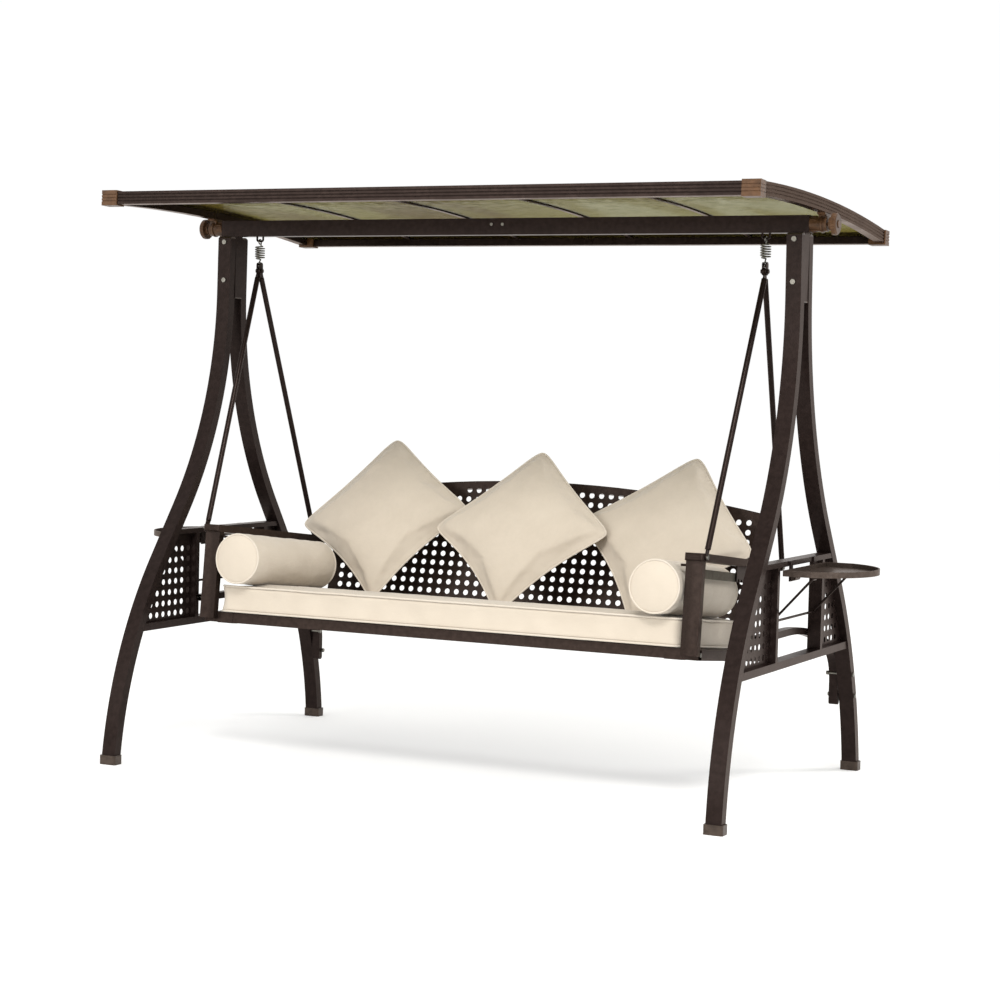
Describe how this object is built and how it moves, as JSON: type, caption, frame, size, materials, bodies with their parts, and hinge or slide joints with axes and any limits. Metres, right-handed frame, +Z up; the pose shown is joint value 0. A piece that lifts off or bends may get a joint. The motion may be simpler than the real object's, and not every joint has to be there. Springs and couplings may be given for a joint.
{
  "type": "canopy swing bench",
  "caption": "Garden swing bench: arched A-frame stand with a tilting translucent roof, a sprung hanging seat with reclining perforated back, loose cushions and folding side trays.",
  "frame": {"origin": "on the floor under the middle of the stand", "axes": "+Z up, front of the seat faces -Y, +X to the right along the bench"},
  "size_m": [2.61, 1.3388, 1.867],
  "materials": {
    "bronze_coat": "dark bronze hammered powder coat",
    "seat_coat": "brown bronze hammered powder coat",
    "roof_coat": "brown bronze powder coat, satin",
    "dark_plastic": "dark moulded plastic",
    "copper_plastic": "copper brown moulded plastic",
    "tray_coat": "brown satin coat",
    "steel": "zinc plated",
    "bar_steel": "grey green coat",
    "roof_sheet": "translucent bronze sheet",
    "cushion_fabric": "woven cream fabric"
  },
  "bodies": {
    "frame": {"left_front_leg": "bronze_coat", "left_rear_leg": "bronze_coat", "right_front_leg": "bronze_coat", "right_rear_leg": "bronze_coat", "foot_caps": "dark_plastic", "frame_plugs": "dark_plastic", "left_beam": "bronze_coat", "right_beam": "bronze_coat", "beam_sleeve": "steel", "frame_bolts": "steel", "left_side_frame": "bronze_coat", "right_side_frame": "bronze_coat", "left_side_panels": "bronze_coat", "right_side_panels": "bronze_coat", "rear_braces": "bronze_coat", "tilt_hubs": "copper_plastic", "hook_eyes": "bronze_coat", "tray_brackets": "bronze_coat"},
    "canopy": {"canopy_front_beam": "roof_coat", "canopy_rear_beam": "roof_coat", "canopy_left_beam": "roof_coat", "canopy_right_beam": "roof_coat", "canopy_corners": "copper_plastic", "canopy_ribs": "roof_coat", "canopy_panels": "roof_sheet", "canopy_tilt_arms": "copper_plastic"},
    "left_knob": {"left_tilt_knob": "copper_plastic"},
    "right_knob": {"right_tilt_knob": "copper_plastic"},
    "hanger": {"left_spring": "steel", "right_spring": "steel"},
    "seat": {"rod_shackles": "bronze_coat", "front_rods": "bronze_coat", "rear_rods": "bronze_coat", "seat_front_rail": "seat_coat", "seat_rear_rail": "bronze_coat", "seat_side_rails": "bronze_coat", "seat_sleeves": "seat_coat", "seat_cross_bars": "bronze_coat", "seat_deck": "bronze_coat", "front_arm_posts": "seat_coat", "rear_arm_posts": "bronze_coat", "left_armrest": "seat_coat", "right_armrest": "seat_coat", "latch_plates": "bronze_coat", "seat_bolts": "steel", "seat_cushion": "cushion_fabric", "left_bolster": "cushion_fabric", "right_bolster": "cushion_fabric"},
    "backrest": {"backrest_frame": "bronze_coat", "backrest_panel": "bronze_coat", "left_pillow": "cushion_fabric", "middle_pillow": "cushion_fabric", "right_pillow": "cushion_fabric"},
    "left_recline_bar": {"left_recline_bar": "bar_steel"},
    "right_recline_bar": {"right_recline_bar": "bar_steel"},
    "left_tray": {"left_tray": "tray_coat"},
    "right_tray": {"right_tray": "tray_coat"},
    "left_bail": {"left_tray_bail": "bronze_coat"},
    "right_bail": {"right_tray_bail": "bronze_coat"}
  },
  "joints": [
    {"name": "canopy_tilt", "type": "hinge", "parent": "frame", "child": "canopy", "pos_m": [0, 0, 1.785], "axis": [1, 0, 0], "range_deg": [-12, 15]},
    {"name": "left_knob_turn", "type": "hinge", "parent": "frame", "child": "left_knob", "pos_m": [-1.14, 0, 1.785], "axis": [-1, 0, 0], "range_deg": [0, 270]},
    {"name": "right_knob_turn", "type": "hinge", "parent": "frame", "child": "right_knob", "pos_m": [1.14, 0, 1.785], "axis": [1, 0, 0], "range_deg": [0, 270]},
    {"name": "swing", "type": "hinge", "parent": "frame", "child": "hanger", "pos_m": [0, 0, 1.742], "axis": [1, 0, 0], "range_deg": [-18, 18]},
    {"name": "bounce", "type": "slide", "parent": "hanger", "child": "seat", "axis": [0, 0, 1], "range_m": [-0.025, 0], "stiffness_N_per_m": 20000, "springref_m": 0.06, "deforming": ["left_spring", "right_spring"]},
    {"name": "backrest_recline", "type": "hinge", "parent": "seat", "child": "backrest", "pos_m": [0, 0.30438, 0.44544], "axis": [-1, 0, 0], "range_deg": [0, 66]},
    {"name": "left_bar_turn", "type": "hinge", "parent": "backrest", "child": "left_recline_bar", "pos_m": [-0.837, 0.35422, 0.64532], "axis": [-1, 0, 0], "range_deg": [-57, 0]},
    {"name": "right_bar_turn", "type": "hinge", "parent": "backrest", "child": "right_recline_bar", "pos_m": [0.837, 0.35422, 0.64532], "axis": [-1, 0, 0], "range_deg": [-57, 0]},
    {"name": "left_tray_fold", "type": "hinge", "parent": "frame", "child": "left_tray", "pos_m": [-1.084, 0.0175, 0.702], "axis": [0, -1, 0], "range_deg": [0, 90]},
    {"name": "right_tray_fold", "type": "hinge", "parent": "frame", "child": "right_tray", "pos_m": [1.084, 0.0175, 0.702], "axis": [0, 1, 0], "range_deg": [0, 90]},
    {"name": "left_bail_turn", "type": "hinge", "parent": "frame", "child": "left_bail", "pos_m": [-1.041, 0.0175, 0.57], "axis": [0, -1, 0], "range_deg": [0, 118]},
    {"name": "right_bail_turn", "type": "hinge", "parent": "frame", "child": "right_bail", "pos_m": [1.041, 0.0175, 0.57], "axis": [0, 1, 0], "range_deg": [0, 118]}
  ],
  "couplings": [
    {"joint": "left_bar_turn", "follows": "backrest_recline", "ratio": -0.85},
    {"joint": "right_bar_turn", "follows": "backrest_recline", "ratio": -0.85},
    {"joint": "left_bail_turn", "follows": "left_tray_fold", "ratio": 1.3},
    {"joint": "right_bail_turn", "follows": "right_tray_fold", "ratio": 1.3}
  ]
}
